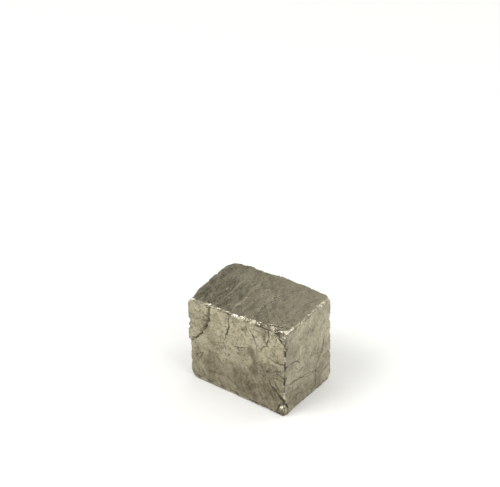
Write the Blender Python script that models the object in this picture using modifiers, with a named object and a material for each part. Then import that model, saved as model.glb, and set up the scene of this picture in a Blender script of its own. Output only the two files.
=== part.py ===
"""One natural pyrite crystal: a slightly skewed block that grew as a single piece.

Frame: +X runs along the crystal's long edge, -Y is its wide front face and +Z is up. The origin is the
centre of the bounding box's base, where the crystal rests on its flat bottom face.

The block is a cube primitive with its eight corners pulled a little out of square. Broken corners are
plane cuts, growth slabs are prisms joined on, and the imprints, the wedge and the nicks along the edges
are prisms and small turned cubes cut away.
"""

import math
import random

import bmesh
import bpy
from mathutils import Euler, Matrix, Vector

MM = 0.001

# Driving dimensions.
LENGTH = 36.0 * MM
DEPTH = 24.6 * MM
HEIGHT = 30.4 * MM
EDGE_ROUNDING = 0.35 * MM
BACK_BULGE = 1.35 * MM
LEFT_BULGE = 0.75 * MM
WEDGE_SLOPE = math.radians(4.0)
FACE_DIVISIONS = 8
SEED = 11

# How far each corner lies from a true cuboid's, as (x side, y side, z side): shift in millimetres.
# The bottom corners stay in one plane, so that the crystal rests on a flat face.
CORNER_SHIFTS = {
    (-1, -1, 1): (0.2, -0.15, -0.35),
    (1, -1, 1): (-0.15, 0.05, 0.15),
    (1, 1, 1): (-0.15, -0.1, 0.0),
    (-1, 1, 1): (-0.5, -0.3, 0.1),
    (-1, -1, -1): (0.2, 0.4, 0.0),
    (1, -1, -1): (-0.1, -0.35, 0.0),
    (1, 1, -1): (0.5, 0.5, 0.0),
    (-1, 1, -1): (-0.3, 0.2, 0.0),
}

# Broken corners: the corner, the direction that the break faces, and how deep it goes in millimetres.
CORNER_BREAKS = (
    ((-1, 1, 1), (-1.0, 1.0, 0.3), 1.45),
    ((-1, 1, 1), (-0.4, 1.0, 0.3), 0.5),
    ((-1, 1, 1), (-1.0, 0.45, 0.45), 0.45),
    ((-1, -1, -1), (-1.0, -0.2, -1.0), 1.05),
    ((-1, -1, -1), (-0.45, -0.2, -1.0), 0.4),
    ((-1, -1, -1), (-1.0, -0.2, -0.4), 0.35),
    ((-1, -1, 1), (-1.0, -0.3, 0.9), 0.9),
    ((1, 1, 1), (1.0, 0.7, 0.9), 0.85),
    ((1, 1, 1), (0.8, 0.25, 1.0), 0.3),
    ((1, 1, -1), (1.0, 0.9, -1.0), 1.0),
    ((1, -1, 1), (0.2, -1.0, 0.3), 0.75),
    ((1, -1, 1), (0.75, -0.9, 0.9), 0.4),
    ((-1, 1, -1), (-0.8, 1.0, -0.9), 1.3),
)

# Flakes gone from the edges: the edge's axis and sides, how far along it, the size of the turned box
# that takes the flake out, its turn in degrees and how deep it bites, in millimetres.
EDGE_FLAKES = (
    ("x", (1, 1), 0.34, (7.4, 3.0, 3.0), (38, 0, 4), 0.55),
    ("x", (1, 1), 0.62, (3.6, 2.0, 2.0), (30, 5, -3), 0.3),
    ("x", (-1, 1), 0.57, (2.6, 1.8, 1.8), (48, 6, -5), 0.42),
    ("x", (-1, 1), 0.22, (3.2, 1.6, 1.6), (40, -4, 3), 0.36),
    ("x", (-1, 1), 0.74, (3.0, 1.4, 1.4), (52, 5, 4), 0.3),
    ("y", (1, 1), 0.78, (2.0, 4.2, 2.0), (0, 50, 5), 0.4),
    ("y", (-1, 1), 0.4, (2.0, 3.4, 2.0), (4, 40, 0), 0.4),
    ("z", (1, -1), 0.83, (1.7, 1.7, 2.8), (5, 0, 42), 0.5),
    ("z", (1, -1), 0.62, (1.5, 1.5, 2.2), (-6, 4, 50), 0.34),
    ("z", (1, -1), 0.47, (1.4, 1.4, 3.0), (5, -5, 38), 0.3),
    ("z", (-1, 1), 0.5, (3.0, 3.0, 6.0), (3, 0, 40), 0.5),
    ("y", (1, -1), 0.3, (2.2, 5.0, 2.2), (0, 44, 0), 0.35),
)

# Nicks on each of the twelve edges: the axis that the edge runs along, the sides it lies on, and a count.
EDGE_NICKS = (
    ("x", (-1, 1), 9),
    ("x", (-1, -1), 2),
    ("x", (1, 1), 5),
    ("x", (1, -1), 3),
    ("y", (-1, 1), 4),
    ("y", (1, 1), 6),
    ("y", (-1, -1), 2),
    ("y", (1, -1), 3),
    ("z", (-1, -1), 3),
    ("z", (1, -1), 8),
    ("z", (-1, 1), 3),
    ("z", (1, 1), 3),
)
NICK_SIZES = (0.5, 1.3)
NICK_BITES = (0.08, 0.26)


def clear_scene():
    for obj in list(bpy.data.objects):
        bpy.data.objects.remove(obj)


def make_collection(name):
    collection = bpy.data.collections.new(name)
    bpy.context.scene.collection.children.link(collection)
    return collection


def make_object(name, bm, collection):
    """A new object from a bmesh, with its faces pointing out."""
    bmesh.ops.recalc_face_normals(bm, faces=bm.faces)
    mesh = bpy.data.meshes.new(name)
    bm.to_mesh(mesh)
    bm.free()
    obj = bpy.data.objects.new(name, mesh)
    collection.objects.link(obj)
    return obj


def make_pyrite_material():
    material = bpy.data.materials.new("pyrite")
    material.use_nodes = True
    shader = material.node_tree.nodes["Principled BSDF"]
    shader.inputs["Base Color"].default_value = (0.42, 0.38, 0.28, 1.0)
    shader.inputs["Metallic"].default_value = 0.9
    shader.inputs["Roughness"].default_value = 0.38
    return material


def corner(sides):
    """Where a corner of the skewed block lies, from its (x, y, z) sides."""
    half = Vector((LENGTH / 2, DEPTH / 2, HEIGHT / 2))
    place = Vector(side * size for side, size in zip(sides, half))
    return place + Vector((0, 0, HEIGHT / 2)) + Vector(CORNER_SHIFTS[sides]) * MM


def crowned(point):
    """Bows the back and left faces outwards, more at the top than at the base."""
    x, y, z = point.x / LENGTH, point.y / DEPTH, point.z / HEIGHT
    rise = 0.35 + 0.65 * z
    back = max(0.0, 1 - 4 * x**2) * max(0.0, 0.5 + y) ** 3
    left = max(0.0, 1 - 4 * y**2) * max(0.0, 0.5 - x) ** 3
    return point + Vector((-LEFT_BULGE * left * rise, BACK_BULGE * back * rise, 0))


def cleave(bm, sides, facing, depth):
    """Breaks a corner off along a plane and closes the cut."""
    normal = Vector(facing).normalized()
    place = max((vert.co for vert in bm.verts), key=normal.dot) - normal * depth
    geometry = bm.verts[:] + bm.edges[:] + bm.faces[:]
    cut = bmesh.ops.bisect_plane(
        bm, geom=geometry, dist=1e-7, plane_co=place, plane_no=normal, clear_outer=True
    )
    rim = [item for item in cut["geom_cut"] if isinstance(item, bmesh.types.BMEdge)]
    bmesh.ops.contextual_create(bm, geom=rim)


def make_block(collection):
    """The main crystal: a skewed cuboid with two bowed faces and its corners broken off."""
    bm = bmesh.new()
    bmesh.ops.create_cube(bm, size=2.0)
    for vert in bm.verts:
        vert.co = corner(tuple(round(side) for side in vert.co))
    bmesh.ops.subdivide_edges(
        bm, edges=bm.edges[:], cuts=FACE_DIVISIONS - 1, use_grid_fill=True
    )
    for vert in bm.verts:
        vert.co = crowned(vert.co)
    for sides, facing, depth in CORNER_BREAKS:
        cleave(bm, sides, facing, depth * MM)
    block = make_object("pyrite_crystal", bm, collection)
    rounding = block.modifiers.new("edge rounding", "BEVEL")
    rounding.width = EDGE_ROUNDING
    rounding.segments = 2
    rounding.limit_method = "ANGLE"
    rounding.angle_limit = math.radians(35)
    return block


def prism(name, outline, matrix, thickness, collection):
    """A solid from a flat outline in millimetres, as thick as asked on the inner side of its plane.

    The matrix places the outline: its X and Y run across and up the outline, and its Z points outwards.
    """
    curve = bpy.data.curves.new(name, "CURVE")
    curve.dimensions = "2D"
    curve.fill_mode = "BOTH"
    curve.extrude = thickness / 2
    spline = curve.splines.new("POLY")
    spline.points.add(len(outline) - 1)
    for point, (x, y) in zip(spline.points, outline):
        point.co = (x * MM, y * MM, 0, 1)
    spline.use_cyclic_u = True
    guide = bpy.data.objects.new(name + "_outline", curve)
    collection.objects.link(guide)
    graph = bpy.context.evaluated_depsgraph_get()
    mesh = bpy.data.meshes.new_from_object(guide.evaluated_get(graph))
    bpy.data.objects.remove(guide)
    bm = bmesh.new()
    bm.from_mesh(mesh)
    bpy.data.meshes.remove(mesh)
    bmesh.ops.remove_doubles(bm, verts=bm.verts, dist=1e-6)
    bm.transform(matrix @ Matrix.Translation((0, 0, -thickness / 2)))
    return make_object(name, bm, collection)


def front_plane(x, outwards, z):
    """Places an outline on the front face: X to the right, Y up and Z out of the face."""
    place = Matrix.Translation((x, -DEPTH / 2 - outwards, z))
    return place @ Matrix.Rotation(math.radians(90), 4, "X")


def back_plane(x, outwards, z):
    """Places an outline on the back face: X to the left, Y up and Z out of the face."""
    place = Matrix.Translation((x, DEPTH / 2 + outwards, z))
    return place @ Matrix.Rotation(math.pi, 4, "Z") @ Matrix.Rotation(math.radians(90), 4, "X")


def left_plane(outwards, y, z):
    """Places an outline on the left face: X towards the front, Y up and Z out of the face."""
    place = Matrix.Translation((-LENGTH / 2 - outwards, y, z))
    return (
        place @ Matrix.Rotation(math.radians(-90), 4, "Z") @ Matrix.Rotation(math.radians(90), 4, "X")
    )


def turned_box(bm, place, size, turn):
    """Adds a box to a bmesh: its size in millimetres, turned by Euler angles in degrees."""
    angles = Euler([math.radians(angle) for angle in turn])
    matrix = Matrix.LocRotScale(place, angles, Vector(size) * MM)
    bmesh.ops.create_cube(bm, size=1.0, matrix=matrix)


def edge_place(axis, sides, along):
    """A point on one of the block's edges, from 0 to 1 along it, and the direction out of the edge."""
    ends = []
    for end in (-1, 1):
        place = list(sides)
        place.insert("xyz".index(axis), end)
        ends.append(tuple(place))
    point = crowned(corner(ends[0]).lerp(corner(ends[1]), along))
    outwards = Vector(ends[0]) + Vector(ends[1])
    return point, outwards.normalized()


def make_nicks(collection):
    """Small turned cubes along the edges. Cutting them away leaves stepped, angular chips."""
    chance = random.Random(SEED)
    bm = bmesh.new()
    for axis, sides, count in EDGE_NICKS:
        for index in range(count):
            along = (index + chance.random()) / count
            size = chance.uniform(*NICK_SIZES)
            turn = [chance.uniform(0, 180) for _ in range(3)]
            point, outwards = edge_place(axis, sides, along)
            # Just over half the cube's width keeps its nearest side about one bite inside the edge.
            point += outwards * (0.55 * size - chance.uniform(*NICK_BITES)) * MM
            turned_box(bm, point, (size, size, size), turn)
    return make_object("nicks", bm, collection)


def make_flakes(collection):
    """Larger turned boxes at chosen places along the edges, each leaving one flat broken facet."""
    bm = bmesh.new()
    for axis, sides, along, size, turn, bite in EDGE_FLAKES:
        point, outwards = edge_place(axis, sides, along)
        half_width = min(size) / 2
        point += outwards * (half_width - bite) * MM
        turned_box(bm, point, size, turn)
    return make_object("flakes", bm, collection)


def make_growth_slabs(collection):
    """Slabs that grew proud of the faces: the top left of the front, and two on the hidden sides."""
    front_slab = prism(
        "front_slab",
        [(-0.25, -16.6), (1.6, -15.2), (3.6, -13.1), (5.4, -10.6), (6.9, -7.6), (7.7, -4.0),
         (8.2, -0.4), (1.0, -0.4), (-0.25, -2.0)],
        front_plane(-LENGTH / 2, 0.35 * MM, HEIGHT), 3.35 * MM, collection,
    )
    back_slab = prism(
        "back_slab",
        [(3.0, 0.6), (15.5, 0.6), (15.5, 9.0), (12.0, 13.5), (3.0, 12.0)],
        back_plane(LENGTH / 2, 0.9 * MM, 0), 3.9 * MM, collection,
    )
    left_slab = prism(
        "left_slab",
        [(2.4, 13.0), (11.5, 13.0), (13.8, 17.5), (13.8, 26.5), (2.4, 26.5)],
        left_plane(0.4 * MM, DEPTH / 2, 0), 3.4 * MM, collection,
    )
    return [front_slab, back_slab, left_slab]


def make_corner_crystal(collection):
    """The small crystal that sits in the notch at the front bottom corner."""
    bm = bmesh.new()
    place = corner((1, -1, -1)) + Vector((-1.0, 1.05, 1.72)) * MM
    turned_box(bm, place, (2.1, 2.1, 2.1), (24, 20, 20))
    return make_object("corner_crystal", bm, collection)


def make_corner_notch(collection):
    """The bite out of the front bottom corner that the small crystal sits in."""
    bm = bmesh.new()
    place = corner((1, -1, -1)) + Vector((0.5, -0.5, 1.9)) * MM
    turned_box(bm, place, (3.0, 3.0, 3.4), (6, 43, 12))
    return make_object("corner_notch", bm, collection)


def make_wedge(collection):
    """A long flake gone from the front face's right edge, below the middle."""
    wedge = prism(
        "wedge",
        [(0.0, 4.0), (-4.3, 8.4), (-6.0, 11.6), (-4.6, 13.4), (0.0, 15.4), (2.0, 15.4), (2.0, 4.0)],
        front_plane(LENGTH / 2, 2.05 * MM, 0), 2.0 * MM, collection,
    )
    # Turned about its left end, it bites deeper towards the edge.
    hinge = Vector((LENGTH / 2 - 6.0 * MM, -DEPTH / 2 - 0.05 * MM, 0))
    turn = Matrix.Rotation(WEDGE_SLOPE, 4, "Z")
    wedge.data.transform(Matrix.Translation(hinge) @ turn @ Matrix.Translation(-hinge))
    return wedge


def make_imprints(collection):
    """Flat-bottomed hollows on the hidden sides, where neighbouring crystals once pressed.

    The left one runs out over the face's back and bottom edges, so it leaves a shallow step.
    """
    left_imprint = prism(
        "left_imprint",
        [(-1.0, -1.0), (10.6, -1.0), (10.2, 5.2), (8.4, 7.6), (3.5, 8.3), (-1.0, 9.4)],
        left_plane(1.6 * MM, DEPTH / 2, 0), 1.9 * MM, collection,
    )
    back_imprint = prism(
        "back_imprint",
        [(19.5, 13.0), (27.0, 11.5), (30.5, 17.0), (27.5, 22.5), (21.0, 21.0)],
        back_plane(LENGTH / 2, 4.1 * MM, 0), 4.0 * MM, collection,
    )
    return [left_imprint, back_imprint]


def combine(crystal, operand, operation):
    """Joins the operand to the crystal, or cuts it away, and hides it."""
    boolean = crystal.modifiers.new(operand.name, "BOOLEAN")
    boolean.operation = operation
    boolean.solver = "EXACT"
    boolean.object = operand
    operand.hide_render = True
    operand.display_type = "WIRE"


def settle(crystal):
    """Makes the modifiers' result the mesh, with the origin at the centre of its base."""
    graph = bpy.context.evaluated_depsgraph_get()
    finished = bpy.data.meshes.new_from_object(crystal.evaluated_get(graph))
    crystal.modifiers.clear()
    crystal.data = finished
    low = Vector(min(vert.co[i] for vert in finished.vertices) for i in range(3))
    high = Vector(max(vert.co[i] for vert in finished.vertices) for i in range(3))
    base = Vector(((low.x + high.x) / 2, (low.y + high.y) / 2, low.z))
    finished.transform(Matrix.Translation(-base))


def main():
    clear_scene()
    crystal_collection = make_collection("pyrite crystal")
    cutters = make_collection("cutters")
    crystal = make_block(crystal_collection)
    combine(crystal, make_wedge(cutters), "DIFFERENCE")
    for slab in make_growth_slabs(cutters):
        combine(crystal, slab, "UNION")
    for imprint in make_imprints(cutters):
        combine(crystal, imprint, "DIFFERENCE")
    combine(crystal, make_flakes(cutters), "DIFFERENCE")
    combine(crystal, make_nicks(cutters), "DIFFERENCE")
    combine(crystal, make_corner_notch(cutters), "DIFFERENCE")
    combine(crystal, make_corner_crystal(cutters), "UNION")
    settle(crystal)
    crystal.data.materials.clear()
    crystal.data.materials.append(make_pyrite_material())


main()
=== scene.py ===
"""A natural pyrite crystal, made the way a maker would finish a rough blank, one step to a cell."""

# %% [markdown]
# # A pyrite crystal
#
# Pyrite often grows as blocks like this one: six flat faces that meet near enough at right angles, a pale
# brassy metallic skin, and years of small damage. Cracks run in from the edges, flakes have come off the
# edges and corners, and thin growth layers leave faint steps across the faces.
#
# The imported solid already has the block, its bowed edges, its broken corners and the larger flakes. This
# script lays a fine skin over that solid, carves what is too small for it, and gives it its metal.

import math
import random

import bmesh
import bpy
import numpy as np
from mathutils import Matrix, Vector, noise
from mathutils.bvhtree import BVHTree


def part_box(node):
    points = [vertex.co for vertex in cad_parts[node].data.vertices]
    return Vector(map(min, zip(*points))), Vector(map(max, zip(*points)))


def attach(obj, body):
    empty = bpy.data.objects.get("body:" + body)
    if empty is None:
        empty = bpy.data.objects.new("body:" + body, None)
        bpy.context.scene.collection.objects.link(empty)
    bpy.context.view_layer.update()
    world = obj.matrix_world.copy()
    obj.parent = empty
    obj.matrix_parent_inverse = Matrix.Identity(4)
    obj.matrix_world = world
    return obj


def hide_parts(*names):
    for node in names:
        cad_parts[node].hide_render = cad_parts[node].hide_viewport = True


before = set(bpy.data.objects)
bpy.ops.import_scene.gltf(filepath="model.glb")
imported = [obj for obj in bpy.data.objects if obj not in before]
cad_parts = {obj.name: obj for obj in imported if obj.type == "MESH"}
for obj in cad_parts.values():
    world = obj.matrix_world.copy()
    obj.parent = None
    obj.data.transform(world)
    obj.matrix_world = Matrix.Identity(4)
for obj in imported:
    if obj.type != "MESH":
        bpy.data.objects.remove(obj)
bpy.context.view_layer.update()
MM = 0.001
low, high = (np.array(end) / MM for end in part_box("pyrite_crystal"))
print("the solid runs from", low.round(2), "to", high.round(2), "mm")

# %% [markdown]
# ## The camera
#
# The crystal stands on a table, seen from its front corner and from above. The lens is a long one, so the
# block's upright edges converge only a little.

# %% Place the camera
AZIMUTH, ELEVATION = math.radians(35.0), math.radians(31.5)
looking = Vector((
    -math.sin(AZIMUTH) * math.cos(ELEVATION),
    math.cos(AZIMUTH) * math.cos(ELEVATION),
    -math.sin(ELEVATION),
))
AIM, DISTANCE = Vector((-0.0110, 0.0106, 0.0401)), 0.4328
lens = bpy.data.cameras.new("camera")
lens.lens = 100.0
lens.sensor_width = 36.0
lens.clip_start = 0.01
camera = bpy.data.objects.new("camera", lens)
camera.location = AIM - looking * DISTANCE
camera.rotation_euler = looking.to_track_quat("-Z", "Y").to_euler()
bpy.context.scene.collection.objects.link(camera)
bpy.context.scene.camera = camera
print("the camera is", round(camera.location.length, 3), "m from the crystal's base")

# %% [markdown]
# ## The blank
#
# A surface that will be carved needs small faces, but only where something fine is going to be. So the
# blank starts as a box of squares a little over a millimetre wide, each cut into two triangles. A later
# cell makes them smaller near an edge, a crack or a step.
#
# Each corner of the mesh is thrown outwards from a smaller box inside the block until it lands on the
# solid. Near the block's edges those directions fan out, so the skin wraps round them without a seam.

# %% Cut a box into coarse squares
COARSE = 1.2


def boxed_blank():
    """A box as large as the solid, cut into squares along each axis in turn."""
    bm = bmesh.new()
    bmesh.ops.create_cube(bm, size=2.0)
    half = (high - low) / 2
    middle = (high + low) / 2
    for vert in bm.verts:
        vert.co = Vector(middle + np.array(vert.co) * half)
    for axis in range(3):
        along = [
            edge for edge in bm.edges
            if abs(edge.verts[0].co[axis] - edge.verts[1].co[axis]) > 1.5 * COARSE
        ]
        cuts = round(2 * half[axis] / COARSE) - 1
        bmesh.ops.subdivide_edges(bm, edges=along, cuts=cuts, use_grid_fill=True)
    return bm


skin = boxed_blank()
print("the blank has", len(skin.faces), "squares")
bmesh.ops.triangulate(skin, faces=skin.faces, quad_method="FIXED")

# %% Throw the blank's corners onto the solid
CORE_DEPTH = 6.0
solid_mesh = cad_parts["pyrite_crystal"].data
solid = BVHTree.FromPolygons(
    [vert.co for vert in solid_mesh.vertices], [face.vertices[:] for face in solid_mesh.polygons]
)


def corners_of(bm):
    """Where the mesh's corners are."""
    return np.array([vert.co[:] for vert in bm.verts])


def land(points):
    """Where points on the blank land on the solid: places and outward directions, in millimetres."""
    core = np.clip(points, low + CORE_DEPTH, high - CORE_DEPTH)
    outwards = points - core
    outwards /= np.linalg.norm(outwards, axis=1)[:, None]
    places = np.empty_like(points)
    for index, (start, direction) in enumerate(zip(core, outwards)):
        place = solid.ray_cast(Vector(start) * MM, Vector(direction))[0]
        places[index] = np.array(place) / MM
    return places, outwards


places, outwards = land(corners_of(skin))
print("the skin lands", np.abs(corners_of(skin) - places).max().round(2), "mm from the blank at most")

# %% [markdown]
# ## The six faces
#
# Every crack and step is drawn on one face, in millimetres across it and up it, just as a maker would
# mark it out. On the front and back, across is X and up is Z; on the left and right it is Y and Z; on the
# top and the base it is X and Y. A corner of the mesh belongs to the face that its outward direction
# points through most.

# %% Name the faces
FACES = {
    "front": (1, -1), "back": (1, 1), "right": (0, 1), "left": (0, -1), "top": (2, 1), "base": (2, -1),
}


def face_coordinates(face, points):
    """Across and up on a face, for points in millimetres."""
    axis = FACES[face][0]
    across, up = [other for other in range(3) if other != axis]
    return points[:, [across, up]]


def on_face(face, outwards):
    """Which corners belong to a face."""
    axis, sign = FACES[face]
    return (np.abs(outwards).argmax(axis=1) == axis) & (outwards[:, axis] * sign > 0)


for name in FACES:
    print(name, "has", on_face(name, outwards).sum(), "corners")

# %% [markdown]
# ## Cracks
#
# Pyrite is brittle. Its cracks start at an edge, wander across a face in short nearly straight runs, and
# die out. Each one here is a route of a few points with a width. The route is roughened by moving the
# middle of each run sideways by a seeded chance amount, again and again, so no run stays straight.

# %% Draw the cracks
# Each crack: its width in millimetres, how dark it is from 0 to 1, and its route.
CRACKS = {
    "front": [
        (0.34, 0.9, [(-2.6, 30.2), (-2.9, 27.6), (-2.6, 25.5), (-3.3, 23.6), (-4.0, 21.2), (-4.4, 19.4),
                     (-5.1, 17.6)]),
        (0.30, 0.9, [(10.6, 30.4), (11.7, 29.4), (12.0, 27.0), (11.3, 24.8), (11.0, 23.6)]),
        (0.22, 0.7, [(7.8, 27.9), (9.2, 27.3), (10.2, 26.4), (10.9, 24.2)]),
        (0.36, 1.0, [(12.0, 30.3), (14.2, 29.5), (15.2, 28.3), (16.7, 26.8), (17.9, 26.2)]),
        (0.24, 0.8, [(-4.6, 16.9), (-3.6, 16.5), (-2.6, 16.7)]),
        (0.26, 0.9, [(-1.2, 18.4), (0.6, 18.6), (2.0, 19.1), (4.5, 20.0)]),
        (0.20, 0.6, [(-5.0, 14.8), (-4.3, 14.3), (-3.3, 14.5)]),
        (0.20, 0.6, [(2.0, 25.9), (2.5, 26.3), (2.9, 25.6)]),
        (0.22, 0.7, [(4.5, 27.6), (6.3, 24.6), (7.4, 23.0)]),
        (0.26, 0.8, [(11.0, 19.6), (13.5, 19.1), (15.2, 18.8), (18.0, 18.9)]),
        (0.26, 0.8, [(12.8, 14.3), (13.7, 15.0), (15.2, 15.8), (18.0, 16.4)]),
        (0.22, 0.7, [(7.8, 15.5), (9.9, 15.6), (12.8, 14.3)]),
        (0.20, 0.6, [(10.4, 16.9), (12.3, 17.4), (14.0, 17.0), (15.4, 17.6)]),
        (0.34, 1.0, [(11.9, 11.7), (13.5, 9.1), (15.2, 7.5), (16.7, 6.0), (17.9, 4.6)]),
        (0.20, 0.6, [(2.0, 7.8), (1.7, 6.3), (2.1, 4.8)]),
        (0.18, 0.5, [(5.0, 12.2), (6.9, 12.9), (8.5, 12.2), (9.9, 12.6)]),
        (0.18, 0.5, [(-9.8, 13.0), (-8.1, 12.6), (-6.9, 13.1)]),
        (0.42, 1.0, [(15.3, 0.3), (15.6, 2.4), (16.3, 3.8), (17.2, 4.5), (18.1, 4.7)]),
        (0.24, 0.9, [(13.6, 12.2), (14.8, 9.8), (15.9, 8.0), (17.3, 5.6)]),
        (0.22, 0.8, [(10.2, 9.8), (11.8, 7.8), (13.6, 5.9), (15.4, 4.3)]),
        (0.20, 0.7, [(14.2, 16.2), (15.6, 14.6), (17.0, 14.0), (18.1, 12.9)]),
        (0.26, 1.0, [(13.1, 30.0), (14.6, 28.6), (16.2, 27.7), (18.0, 27.4)]),
        (0.24, 0.9, [(14.7, 30.1), (15.6, 29.1), (17.0, 28.4), (18.1, 28.5)]),
        (0.20, 0.6, [(8.8, 21.4), (9.8, 22.4), (11.0, 23.6), (12.4, 23.2)]),
        (0.18, 0.6, [(14.0, 21.5), (15.1, 20.6), (15.3, 18.9)]),
        (0.18, 0.6, [(13.3, 12.7), (15.0, 13.1), (16.5, 12.2), (18.0, 12.4)]),
        (0.18, 0.5, [(5.4, 17.6), (6.6, 16.8), (7.0, 15.3), (8.6, 13.9)]),
        (0.16, 0.5, [(-8.4, 16.2), (-7.0, 15.1), (-6.1, 15.5), (-5.0, 14.8)]),
        (0.16, 0.5, [(8.2, 6.4), (9.4, 5.2), (9.2, 3.8)]),
        (0.16, 0.5, [(3.6, 9.6), (4.7, 8.0), (4.4, 6.2), (5.6, 5.0)]),
    ],
    "right": [
        (0.26, 0.9, [(-12.6, 18.5), (-11.2, 18.3), (-8.5, 17.8), (-6.5, 17.4), (-5.1, 15.8)]),
        (0.26, 0.8, [(-12.6, 11.4), (-10.7, 11.0), (-7.3, 10.4), (-4.8, 10.0), (-1.9, 9.4), (3.0, 7.9)]),
        (0.24, 0.8, [(-12.0, 3.4), (-9.7, 4.1), (-7.0, 4.7), (-4.1, 4.1), (-2.9, 3.2), (0.6, 2.8),
                     (3.7, 3.7)]),
        (0.26, 1.0, [(3.8, 0.0), (3.8, 4.6), (4.0, 7.6), (5.0, 10.0), (6.7, 12.0), (8.0, 15.2),
                     (8.7, 18.8)]),
        (0.24, 0.8, [(5.3, 4.0), (8.2, 4.7), (11.2, 5.8), (13.0, 6.1)]),
        (0.20, 0.7, [(0.8, 15.3), (2.2, 14.6), (3.8, 14.4), (6.0, 13.2)]),
        (0.22, 0.7, [(6.2, 10.4), (8.7, 10.5), (11.7, 10.4), (13.0, 10.9)]),
        (0.18, 0.6, [(6.7, 12.0), (8.9, 12.9), (10.8, 14.6)]),
        (0.18, 0.5, [(-2.0, 24.4), (0.8, 23.6), (3.4, 24.1)]),
        (0.40, 1.0, [(-12.7, 4.7), (-11.8, 4.2), (-11.1, 2.6), (-11.0, 0.3)]),
        (0.16, 0.5, [(-12.5, 7.5), (-9.8, 7.9), (-6.4, 7.0), (-3.8, 7.4)]),
        (0.16, 0.5, [(-8.0, 13.6), (-5.0, 12.7), (-2.2, 12.9), (0.8, 11.9)]),
        (0.16, 0.5, [(8.6, 18.8), (10.2, 19.6), (11.8, 19.2)]),
    ],
    "top": [
        (0.20, 0.7, [(4.1, -12.4), (4.8, -9.9), (4.4, -6.3), (4.1, -2.8), (4.4, -1.1), (4.4, 2.3)]),
        (0.22, 0.8, [(6.6, 6.4), (6.9, 8.4), (6.7, 11.1)]),
        (0.18, 0.6, [(13.7, 2.6), (14.1, 5.5), (15.5, 7.0), (15.9, 9.4)]),
        (0.24, 0.9, [(3.8, 2.8), (4.3, 1.9), (4.1, 0.9)]),
        (0.20, 0.7, [(-0.6, 3.1), (0.8, 3.9), (1.6, 3.0)]),
        (0.18, 0.5, [(-5.9, 9.9), (-4.9, 9.2), (-4.4, 8.2)]),
        (0.30, 1.0, [(8.8, -12.5), (11.2, -11.2), (13.8, -10.3), (16.0, -9.7), (18.2, -10.0)]),
        (0.24, 0.9, [(12.6, -12.6), (14.4, -11.6), (16.2, -11.6), (17.4, -12.3)]),
    ],
}


def roughened(route, chance, rounds=4):
    """A route with the middle of each run moved sideways, several times over."""
    points = [np.array(point, float) for point in route]
    for _ in range(rounds):
        finer = [points[0]]
        for start, end in zip(points, points[1:]):
            run = end - start
            sideways = np.array((-run[1], run[0]))
            middle = (start + end) / 2 + sideways * chance.uniform(-0.1, 0.1)
            finer += [middle, end]
        points = finer
    return np.array(points)


def wandering(chance, start, heading, length, run=2.2):
    """A crack's route that starts somewhere, heads one way and turns a little at every run."""
    points = [start]
    for _ in range(max(1, round(length / run))):
        heading += chance.gauss(0, 0.35)
        x, y = points[-1]
        points.append((x + run * math.cos(heading), y + run * math.sin(heading)))
    return points


def hidden_cracks(chance, face, count):
    """Cracks for a face that nobody has drawn: they run inwards from its edges."""
    x0, y0 = face_coordinates(face, low[None])[0]
    x1, y1 = face_coordinates(face, high[None])[0]
    cracks = []
    for _ in range(count):
        side = chance.randrange(4)
        across, up = chance.uniform(x0 + 3, x1 - 3), chance.uniform(y0 + 3, y1 - 3)
        start = [(across, y0 + 0.3), (x1 - 0.3, up), (across, y1 - 0.3), (x0 + 0.3, up)][side]
        heading = math.radians(90 * (side + 1)) + chance.gauss(0, 0.45)
        route = wandering(chance, start, heading, chance.uniform(5, 16))
        cracks.append((chance.uniform(0.16, 0.28), chance.uniform(0.4, 0.9), route))
    return cracks


chance = random.Random(7)
for name, count in (("back", 7), ("left", 5), ("base", 4)):
    CRACKS[name] = hidden_cracks(chance, name, count)
# How much wider and darker the cracks are on a face than drawn.
CRACK_LOOKS = {"front": (1.25, 1.0), "right": (1.35, 1.2), "top": (1.3, 1.1)}
cracks = {}
for face, drawn in CRACKS.items():
    wider, darker = CRACK_LOOKS.get(face, (0.9, 0.8))
    cracks[face] = [(wider * width, darker * dark, roughened(route, chance)) for width, dark, route in drawn]
print(sum(len(drawn) for drawn in cracks.values()), "cracks")

# %% Measure how far each corner is from a route
def nearest_on(route, spots):
    """For spots on a face: the distance to a route, how far along it from 0 to 1, the side, the point."""
    starts, ends = route[:-1], route[1:]
    runs = ends - starts
    lengths = (runs ** 2).sum(axis=1)
    to_spot = spots[:, None] - starts[None]
    along = ((to_spot * runs).sum(axis=2) / lengths).clip(0, 1)
    nearest = starts + along[..., None] * runs
    gaps = np.linalg.norm(spots[:, None] - nearest, axis=2)
    best = gaps.argmin(axis=1)
    rows = np.arange(len(spots))
    cross = runs[best, 0] * to_spot[rows, best, 1] - runs[best, 1] * to_spot[rows, best, 0]
    progress = (best + along[rows, best]) / len(runs)
    return gaps[rows, best], progress, np.sign(cross), nearest[rows, best]


def near(route, spots, reach):
    """Which spots lie in the route's own box, grown by a reach."""
    inside = (spots > route.min(axis=0) - reach) & (spots < route.max(axis=0) + reach)
    return np.flatnonzero(inside.all(axis=1))


# %% [markdown]
# ## Growth layers
#
# A crystal grows in layers a few hundredths of a millimetre thick, and each one stops somewhere. The line
# where it stops is a step. One thick layer covers the front face's top left corner: the solid has it,
# and here its rim is worn down to a rough slope. The top has a row of long faint steps. The hidden
# faces have steps too, nearly parallel to their edges.

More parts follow.
